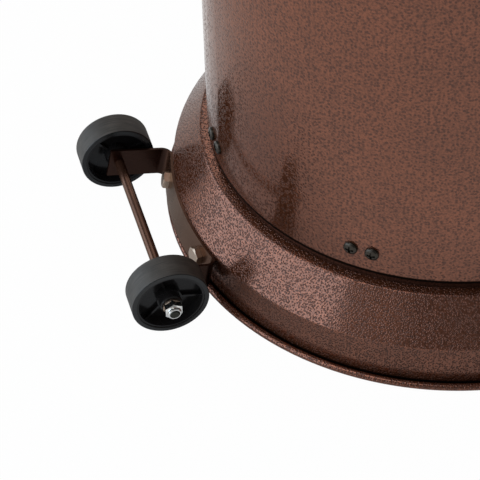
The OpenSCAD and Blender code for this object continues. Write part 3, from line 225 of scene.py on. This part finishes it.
def hammeredPaint(name, own=None):
    paint = {**bronze, **(own or {})}
    material, tree, shader = newMaterial(name, Metallic=paint["metallic"], IOR=paint["ior"],
                                         Specular_IOR_Level=paint["specular"], Specular_Tint=paint["edge"])
    marks = useGroup(tree, hammer, {"Scale": paint["craterScale"], "Crater Size": paint["craterSize"]})
    pits = times(tree, marks["Craters"], paint["craterTone"])
    colour = mixColour(tree, pits, paint["net"], paint["crater"])
    drift = spread(tree, marks["Drift"], paint["driftFrom"] * paint["tone"], paint["driftTo"] * paint["tone"])
    speckle = spread(tree, marks["Grain"], 1 - paint["grain"], 1 + paint["grain"])
    colour = toneColour(tree, colour, times(tree, drift, speckle))
    # the coat lies thin and rough in the craters
    rough = remap(tree, marks["Craters"], 0.0, 1.0, paint["roughness"], paint["craterRough"])
    paintedShade = None
    # painted shade: the bottom of the hem is darkened in colour, as in the shadow under the housing's edge
    if "hemAt" in paint:
        paintedShade = remap(tree, objectAxes(tree)[2], paint["hemAt"] + paint["hemFrom"],
                      paint["hemAt"] + paint["hemFull"])
        colour = mixColour(tree, paintedShade, colour, paint["hem"])
    # painted shade: the groove at the skirt's foot and the gap under the housing's hem are darkened in colour,
    # rougher and fully metallic
    if "grooveR" in paint:
        axes = objectAxes(tree)
        reach = fromAxis(tree, axes)
        groove = times(tree, remap(tree, reach, paint["grooveR"], paint["grooveR"] - paint["grooveFade"]),
                       remap(tree, axes[2], paint["grooveZ"], paint["grooveFullZ"]))
        foot = paint["gapTop"] - paint["gapDepth"]
        gap = times(tree, remap(tree, axes[2], paint["gapTop"], paint["gapTop"] - paint["gapFade"]),
                    remap(tree, axes[2], foot, foot + paint["gapFootFade"]))
        gap = times(tree, gap, remap(tree, reach, paint["gapR"], paint["gapR"] - paint["gapFade"]))
        paintedShade = mathNode(tree, "MAXIMUM", groove, gap)
        colour = mixColour(tree, groove, colour, paint["groove"])
        colour = mixColour(tree, gap, colour, paint["gap"])
    if paintedShade is not None:
        rough = remap(tree, paintedShade, 0.0, 1.0, rough, paint["paintedShadeRough"])
        metallic = remap(tree, paintedShade, 0.0, 1.0, paint["metallic"], 1.0)
        tree.links.new(metallic, shader.inputs["Metallic"])
    dress(tree, shader, colour, rough)
    bumpFrom(tree, shader, marks["Height"], paint["relief"], paint["depth"])
    return material


# the bracket and the axle have the same paint without the relief, a little worn
strip = {"net": tint(85, 57, 44), "edge": tint(238, 226, 214), "metallic": 0.8, "specular": 0.85,
         "toneFrom": 0.85, "toneTo": 1.1, "roughFrom": 0.312, "roughTo": 0.216, "grainScale": 500.0,
         "relief": 0.3, "depth": 0.03 * mm, "thread": tint(52, 54, 50), "threadInset": 4.0 * mm,
         "armX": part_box("wheel_bracket")[1][0] - 3.0 * mm, "armFade": 3.0 * mm, "armShade": tint(48, 26, 18)}


def stripPaint(name, threadFrom=None):
    material, tree, shader = newMaterial(name, Specular_IOR_Level=strip["specular"],
                                         Specular_Tint=strip["edge"])
    marks = useGroup(tree, grain, {"Scale": strip["grainScale"]})
    colour = toneColour(tree, strip["net"], spread(tree, marks["Tone"], strip["toneFrom"], strip["toneTo"]))
    fromMiddle = mathNode(tree, "ABSOLUTE", objectAxes(tree)[0])
    if threadFrom is None:
        shader.inputs["Metallic"].default_value = strip["metallic"]
        # painted shade: the arms beside the wheels are darkened in colour, as in the wheels' shade
        armShaded = remap(tree, fromMiddle, strip["armX"] - strip["armFade"], strip["armX"])
        colour = mixColour(tree, armShaded, colour, strip["armShade"])
    else:
        # bare zinc on the threaded ends
        thread = mathNode(tree, "GREATER_THAN", fromMiddle, threadFrom)
        colour = mixColour(tree, thread, colour, strip["thread"])
        tree.links.new(remap(tree, thread, 0.0, 1.0, strip["metallic"], 1.0), shader.inputs["Metallic"])
    dress(tree, shader, colour, spread(tree, marks["Tone"], strip["roughFrom"], strip["roughTo"]))
    bumpFrom(tree, shader, marks["Height"], strip["relief"], strip["depth"])
    return material


metalMarks = {"toneFrom": 0.92, "toneTo": 1.04, "smooth": 0.8, "dull": 1.25, "depth": 0.05 * mm}


def plainMetal(name, colour, roughness, lines=0.0, metallic=1.0):
    material, tree, shader = newMaterial(name, Metallic=metallic)
    marks = useGroup(tree, turned)
    tone = spread(tree, marks["Patches"], metalMarks["toneFrom"], metalMarks["toneTo"])
    rough = spread(tree, marks["Lines"], roughness * metalMarks["smooth"], roughness * metalMarks["dull"])
    dress(tree, shader, toneColour(tree, colour, tone), rough)
    if lines:
        bumpFrom(tree, shader, marks["Lines"], lines, metalMarks["depth"])
    return material


mouldMarks = {"toneFrom": 0.85, "toneTo": 1.15, "smooth": 0.9, "dull": 1.1, "relief": 0.4}


def moulded(name, colour, roughness, gloss, grainScale, depth):
    material, tree, shader = newMaterial(name, Specular_IOR_Level=gloss)
    marks = useGroup(tree, grain, {"Scale": grainScale})
    tone = spread(tree, marks["Tone"], mouldMarks["toneFrom"], mouldMarks["toneTo"])
    rough = spread(tree, marks["Height"], roughness * mouldMarks["smooth"], roughness * mouldMarks["dull"])
    dress(tree, shader, toneColour(tree, colour, tone), rough)
    bumpFrom(tree, shader, marks["Height"], mouldMarks["relief"], depth)
    return material


tyre = {"tread": tint(54, 49, 44), "side": tint(20, 20, 20), "gloss": 0.35, "treadRough": 0.62,
        "sideRough": 0.26, "grainScale": 1300.0, "streaks": 2600.0, "streakStretch": (1, 0.02, 0.02),
        "streakTone": 0.45, "sideFrom": 0.7 * mm, "sideFull": 0.21 * mm, "relief": 0.4, "depth": 0.06 * mm}


def rolledRubber(name, inner, outer):
    material, tree, shader = newMaterial(name, Specular_IOR_Level=tyre["gloss"])
    marks = useGroup(tree, grain, {"Scale": tyre["grainScale"]})
    # rolling leaves streaks round the tread
    slow = addNode(tree, "ShaderNodeVectorMath", {0: objectPlace(tree), 1: tyre["streakStretch"]},
                   operation="MULTIPLY").outputs["Vector"]
    streaks = noise(tree, slow, tyre["streaks"], detail=2.0, roughness=0.6)
    tone = times(tree, spread(tree, streaks, 1 - tyre["streakTone"], 1 + tyre["streakTone"]),
                 spread(tree, marks["Tone"], mouldMarks["toneFrom"], mouldMarks["toneTo"]))
    worn = toneColour(tree, tyre["tread"], tone)
    # both side walls, from where the tread rounds over
    along = mathNode(tree, "ABSOLUTE", objectAxes(tree)[0])
    deep, shallow = tyre["sideFrom"], tyre["sideFull"]
    side = mathNode(tree, "MAXIMUM", remap(tree, along, outer - deep, outer - shallow),
                    remap(tree, along, inner + deep, inner + shallow))
    rough = remap(tree, side, 0.0, 1.0, tyre["treadRough"], tyre["sideRough"])
    dress(tree, shader, mixColour(tree, side, worn, tyre["side"]), rough)
    bumpFrom(tree, shader, marks["Height"], tyre["relief"], tyre["depth"])
    return material


tyreEnds = sorted(abs(corner[0]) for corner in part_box("wheel_tyre_left"))
# the axle's thread starts a little inside the hubs, and the lock nuts run on it
threadFrom = max(abs(corner[0]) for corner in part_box("wheel_hub_left")) - strip["threadInset"]
finishMakers = {
    "hammeredBronze": (hammeredPaint, {}),
    "baseBronze": (hammeredPaint, {"own": baseRim}),
    "housingBronze": (hammeredPaint, {"own": housing}),
    "smoothBronze": (stripPaint, {}),
    "axleBronze": (stripPaint, {"threadFrom": threadFrom}),
    "wheelRubber": (rolledRubber, {"inner": tyreEnds[0], "outer": tyreEnds[1]}),
    "blackPlastic": (moulded, {"colour": tint(25, 23, 23), "roughness": 0.18, "gloss": 0.22,
                               "grainScale": 700.0, "depth": 0.01 * mm}),
    "dullPlastic": (moulded, {"colour": tint(34, 34, 35), "roughness": 0.5, "gloss": 0.4,
                              "grainScale": 1200.0, "depth": 0.04 * mm}),
    "whiteCeramic": (moulded, {"colour": tint(236, 230, 216), "roughness": 0.25, "gloss": 0.5,
                               "grainScale": 500.0, "depth": 0.01 * mm}),
    "markWhite": (moulded, {"colour": tint(206, 200, 190), "roughness": 0.5, "gloss": 0.4,
                            "grainScale": 1500.0, "depth": 0.01 * mm}),
    "blackScrew": (plainMetal, {"colour": tint(54, 49, 43), "roughness": 0.26, "metallic": 0.8}),
    "brightZinc": (plainMetal, {"colour": tint(222, 222, 219), "roughness": 0.16}),
    "dullZinc": (plainMetal, {"colour": tint(182, 161, 143), "roughness": 0.34}),
    "stainless": (plainMetal, {"colour": tint(184, 182, 178), "roughness": 0.28, "lines": 0.2}),
    "spunAluminium": (plainMetal, {"colour": tint(190, 190, 192), "roughness": 0.34, "lines": 0.35}),
    "machinedBrass": (plainMetal, {"colour": tint(196, 160, 92), "roughness": 0.25}),
}
finishes = {name: maker(name, **settings) for name, (maker, settings) in finishMakers.items()}
print("finishes made:", len(finishes))

finishOf = {
    "housingBronze": ["housing_shell"],
    "baseBronze": ["base_shell"],
    "hammeredBronze": ["housing_lid", "support_leg_rear", "support_leg_left", "support_leg_right", "post",
                       "post_socket", "head_flange", "control_housing", "control_panel", "housing_clips"],
    "smoothBronze": ["wheel_bracket"],
    "axleBronze": ["axle"],
    "blackPlastic": ["wheel_hub_left", "wheel_hub_right", "control_knob", "ignitor_body", "ignitor_button"],
    "dullPlastic": ["housing_collar", "ignitor_nut", "ignitor_wire", "tilt_switch", "bracket_wedges"],
    "wheelRubber": ["wheel_tyre_left", "wheel_tyre_right"],
    "blackScrew": ["post_screws", "clip_screws", "lid_screws"],
    "brightZinc": ["axle_nuts", "stud_nuts", "reflector_washers", "wing_nuts", "valve_cap", "valve_stem",
                   "valve_bracket", "pilot_bracket"],
    "dullZinc": ["axle_washers", "bracket_bolts", "bracket_nuts", "leg_foot_bolts", "leg_foot_nuts",
                 "leg_top_bolts", "leg_top_nuts", "head_bolts", "head_nuts"],
    "stainless": ["emitter_screen", "screen_top", "burner", "burner_tube", "burner_floor", "thermocouple",
                  "reflector_studs"],
    "spunAluminium": ["reflector", "pilot_tube"],
    "machinedBrass": ["gas_valve", "valve_inlet", "valve_plug", "gas_elbow"],
    "whiteCeramic": ["electrode"],
}
for finish, members in finishOf.items():
    for name in members:
        nodes[name].data.materials.clear()
        nodes[name].data.materials.append(finishes[finish])
undressed = set(nodes) - {name for members in finishOf.values() for name in members}
print("pieces without a finish:", sorted(undressed))


def newPiece(name, mesh, finish):
    piece = bpy.data.objects.new(name, mesh)
    bpy.context.scene.collection.objects.link(piece)
    mesh.materials.append(finishes[finish])
    return piece


# emitter screen with fine staggered holes, in place of the solid with its coarse ones
screen = {"flange": 10 * mm, "corner": 1.2 * mm, "columns": 76, "rows": 33, "band": 11 * mm, "hole": 2.3 * mm,
          "sheet": 0.7 * mm, "taper": 8 * mm}


# each row has one cell per column, four quarters wide, with a round hole of twelve corners in it
def fineScreen(low, high):
    columns, rows, corner = screen["columns"], screen["rows"], screen["corner"]
    quarters = 4 * columns
    topR = high[0]
    footR = topR - screen["taper"]
    bottom, top = low[2], high[2]
    corners, faces = [], []

    def radiusAt(z):
        return footR + (topR - footR) * (z - bottom) / (top - bottom)

    # turn counts quarters
    def point(radius, turn, z):
        angle = 2 * math.pi * turn / quarters
        return (radius * math.cos(angle), radius * math.sin(angle), z)

    def ring(radius, z):
        start = len(corners)
        corners.extend(point(radius, turn, z) for turn in range(quarters))
        return start

    def joinRings(first, second):
        for turn in range(quarters):
            after = (turn + 1) % quarters
            faces.append((first + turn, first + after, second + after, second + turn))

    def holeCell(left, middleZ, border):
        rim = len(corners)
        sides = len(border)
        for step in range(sides):
            around = 2 * math.pi * step / sides
            z = middleZ + screen["hole"] * math.sin(around)
            across = screen["hole"] * math.cos(around) / radiusAt(z) * quarters / (2 * math.pi)
            corners.append(point(radiusAt(z), left + 2 + across, z))
        for step in range(sides):
            after = (step + 1) % sides
            faces.append((rim + step, border[step], border[after], rim + after))

    firstZ, lastZ = bottom + screen["band"], top - screen["band"]
    pitch = (lastZ - firstZ) / rows
    below = [ring(footR - screen["flange"], bottom), ring(footR - corner, bottom),
             ring(radiusAt(bottom + corner), bottom + corner)]
    edges = [ring(radiusAt(firstZ + row * pitch), firstZ + row * pitch) for row in range(rows + 1)]
    above = [ring(radiusAt(top - corner), top - corner), ring(topR - corner, top),
             ring(topR - screen["flange"], top)]
    for first, second in zip(below + edges[:1], below[1:] + edges[:1]):
        joinRings(first, second)
    for first, second in zip(edges[-1:] + above, above):
        joinRings(first, second)
    for row in range(rows):
        shift = 2 * (row % 2)
        middleZ = firstZ + (row + 0.5) * pitch
        middles = len(corners)
        for column in range(columns):
            corners.append(point(radiusAt(middleZ), 4 * column + shift, middleZ))
        foot, head = edges[row], edges[row + 1]
        for column in range(columns):
            left = 4 * column + shift
            turns = [(left + step) % quarters for step in range(5)]
            border = [middles + (column + 1) % columns, *(head + turn for turn in reversed(turns)),
                      middles + column, *(foot + turn for turn in turns)]
            holeCell(left, middleZ, border)
    mesh = bpy.data.meshes.new("fineScreen")
    mesh.from_pydata(corners, [], faces)
    mesh.update()
    piece = newPiece("fineScreen", mesh, "stainless")
    thickness = piece.modifiers.new("sheet", "SOLIDIFY")
    thickness.thickness = screen["sheet"]
    thickness.offset = -1
    return piece


screenPiece = fineScreen(*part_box("emitter_screen"))
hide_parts("emitter_screen")
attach(screenPiece, "frame")
print("emitter screen pierced:", len(screenPiece.data.polygons), "faces")

# printed marks on the panel: a dot where the knob is off, and a wedge that widens with the flame
dial = {"dotR": 1.6 * mm, "dotIn": 0.5 * mm, "dotSides": 24, "ringR": 30 * mm, "from": 70, "to": -150,
        "thin": 0.5 * mm, "wide": 4.0 * mm, "steps": 48, "proud": 0.08 * mm, "weld": 0.01 * mm}


def panelMarks():
    knobLow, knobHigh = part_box("control_knob")
    centreX, centreZ = (knobLow[0] + knobHigh[0]) / 2, (knobLow[2] + knobHigh[2]) / 2
    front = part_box("control_panel")[0][1]
    shape = bmesh.new()

    def polar(radius, degrees, middleZ=centreZ):
        angle = math.radians(degrees)
        return (centreX + radius * math.cos(angle), middleZ + radius * math.sin(angle))

    def flat(points):
        shape.faces.new([shape.verts.new((x, front - dial["proud"], z)) for x, z in points])

    dotZ = centreZ + dial["ringR"] - dial["dotIn"]
    flat([polar(dial["dotR"], 360 / dial["dotSides"] * step, dotZ) for step in range(dial["dotSides"])])
    for step in range(dial["steps"]):
        quad = []
        for share, side in ((step, -1), (step + 1, -1), (step + 1, 1), (step, 1)):
            part = share / dial["steps"]
            width = dial["thin"] + (dial["wide"] - dial["thin"]) * part
            degrees = dial["from"] + (dial["to"] - dial["from"]) * part
            quad.append(polar(dial["ringR"] + side * width / 2, degrees))
        flat(quad)
    bmesh.ops.remove_doubles(shape, verts=shape.verts, dist=dial["weld"])
    bmesh.ops.recalc_face_normals(shape, faces=shape.faces)
    mesh = bpy.data.meshes.new("panelMarks")
    shape.to_mesh(mesh)
    shape.free()
    return newPiece("panelMarks", mesh, "markWhite")


markPiece = panelMarks()
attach(markPiece, "frame")
print("panel marked")


# camera rays, and rays mirrored by or seen through the object
def viewRays(tree):
    rays = addNode(tree, "ShaderNodeLightPath").outputs
    mirrored = mathNode(tree, "MAXIMUM", rays["Is Glossy Ray"], rays["Is Transmission Ray"])
    return rays["Is Camera Ray"], mirrored


# the floor shows plain white; mirrored close to the base and the wheels it is darker, as in their shadow
floorLook = {"size": 60.0, "drop": 0.5 * mm, "grey": 0.6, "rough": 0.9, "glow": 0.98, "plainFrom": 2.0,
             "plainTo": 5.0, "mirrorGlow": 0.6, "mirrorFrom": 0.24, "mirrorTo": 0.33,
             "wheelsAt": (0, 0.25, 0), "wheelGlow": 0.2, "wheelFrom": 0.08, "wheelTo": 0.22}


def floorPaint():
    material, tree, shader = newMaterial("floorPaint", Base_Color=(floorLook["grey"],) * 3 + (1,),
                                         Roughness=floorLook["rough"])
    seen, mirrored = viewRays(tree)
    fromMiddle = addNode(tree, "ShaderNodeVectorMath", {0: objectPlace(tree)}, operation="LENGTH")
    fromWheels = addNode(tree, "ShaderNodeVectorMath", {0: objectPlace(tree), 1: floorLook["wheelsAt"]},
                         operation="DISTANCE")
    plain = remap(tree, fromMiddle.outputs["Value"], floorLook["plainFrom"], floorLook["plainTo"],
                  floorLook["glow"], 1.0)
    nearBase = remap(tree, fromMiddle.outputs["Value"], floorLook["mirrorFrom"], floorLook["mirrorTo"],
                     floorLook["mirrorGlow"], 1.0)
    nearWheels = remap(tree, fromWheels.outputs["Value"], floorLook["wheelFrom"], floorLook["wheelTo"],
                       floorLook["wheelGlow"], 1.0)
    share = mathNode(tree, "MAXIMUM", times(tree, seen, plain),
                     times(tree, mirrored, times(tree, nearBase, nearWheels)))
    glow = addNode(tree, "ShaderNodeEmission", {"Color": white, "Strength": 1.0})
    lit = addNode(tree, "ShaderNodeMixShader", {0: share, 1: shader.outputs[0], 2: glow.outputs[0]})
    # from below the floor is open, so that the underside can be looked at
    below = addNode(tree, "ShaderNodeNewGeometry").outputs["Backfacing"]
    clear = addNode(tree, "ShaderNodeBsdfTransparent")
    surface = addNode(tree, "ShaderNodeMixShader", {0: below, 1: lit.outputs[0], 2: clear.outputs[0]})
    tree.links.new(surface.outputs[0], tree.nodes["Material Output"].inputs["Surface"])
    return material


floorMesh = bpy.data.meshes.new("floorSheet")
half = floorLook["size"] / 2
floorCorners = [(-half, -half, 0), (half, -half, 0), (half, half, 0), (-half, half, 0)]
floorMesh.from_pydata(floorCorners, [], [(0, 1, 2, 3)])
floorSheet = bpy.data.objects.new("floorSheet", floorMesh)
floorSheet.location.z = -floorLook["drop"]
bpy.context.scene.collection.objects.link(floorSheet)
floorMesh.materials.append(floorPaint())

# the sky is white to the camera, darker in mirror images and weak as a light
skyLevel = {"seen": 1.0, "mirrored": 0.2, "light": 0.3}
world = bpy.data.worlds.new("studio")
bpy.context.scene.world = world
world.use_nodes = True
skyTree = world.node_tree
background = skyTree.nodes["Background"]
skySeen, skyMirrored = viewRays(skyTree)
skyRest = remap(skyTree, skyMirrored, 0.0, 1.0, skyLevel["light"], skyLevel["mirrored"], smooth=False)
skyStrength = mathNode(skyTree, "MAXIMUM", skyRest, times(skyTree, skySeen, skyLevel["seen"]))
background.inputs["Color"].default_value = white
skyTree.links.new(skyStrength, background.inputs["Strength"])
print("floor and sky laid")


def softLamp(name, spot, aim, width, height, power, colour=(1, 1, 1)):
    data = bpy.data.lights.new(name, "AREA")
    data.shape = "RECTANGLE"
    data.size, data.size_y = width, height
    data.energy = power
    data.color = colour
    lamp = bpy.data.objects.new(name, data)
    lamp.location = spot
    lamp.rotation_mode = "QUATERNION"
    lamp.rotation_quaternion = (Vector(aim) - Vector(spot)).to_track_quat("-Z", "Y")
    bpy.context.scene.collection.objects.link(lamp)


# the key box stands behind the wheels, where the cone mirrors it
lamps = {
    "keyBox": {"spot": (0.3, 1.6, 0.81), "aim": (0.3, 0, 0.81), "width": 2.75, "height": 1.6, "power": 37.5,
               "colour": (0.84, 1.02, 1.2)},
    "fillBox": {"spot": (-1.9, 1.8, 1.0), "aim": (0, 0, 0.5), "width": 1.2, "height": 1.9, "power": 2.0},
    "topBox": {"spot": (-0.3, 1.3, 3.9), "aim": (0, 0, 0.8), "width": 2.4, "height": 2.4, "power": 42.0},
    "rightBox": {"spot": (2.36, -0.17, 1.95), "aim": (0, 0, 0.1), "width": 1.75, "height": 1.2, "power": 9.5},
    "sideBox": {"spot": (2.2, -2.4, 1.6), "aim": (0, 0, 0.8), "width": 1.4, "height": 1.8, "power": 12.0},
}
for name, lamp in lamps.items():
    softLamp(name, **lamp)
print("lamps lit:", len(lamps))

# the camera was solved from the outlines of the rim, the crease, the wheels and the screws
view = {"spot": (-1.00188, 0.44783, 1.04386), "forward": (0.67494, -0.18412, -0.71453),
        "right": (-0.28436, -0.95848, -0.02163), "lens": 134.96, "sensor": 36.0, "near": 0.05, "far": 60}
forward = Vector(view["forward"]).normalized()
up = Vector(view["right"]).normalized().cross(forward).normalized()
right = forward.cross(up).normalized()
cameraData = bpy.data.cameras.new("photoCamera")
cameraData.lens = view["lens"]
cameraData.sensor_width = view["sensor"]
cameraData.clip_start, cameraData.clip_end = view["near"], view["far"]
camera = bpy.data.objects.new("photoCamera", cameraData)
turn = Matrix((right, up, -forward)).transposed().to_4x4()
camera.matrix_world = Matrix.Translation(view["spot"]) @ turn
bpy.context.scene.collection.objects.link(camera)
bpy.context.scene.camera = camera
bpy.context.scene.view_settings.view_transform = "Standard"

print("scene ready")
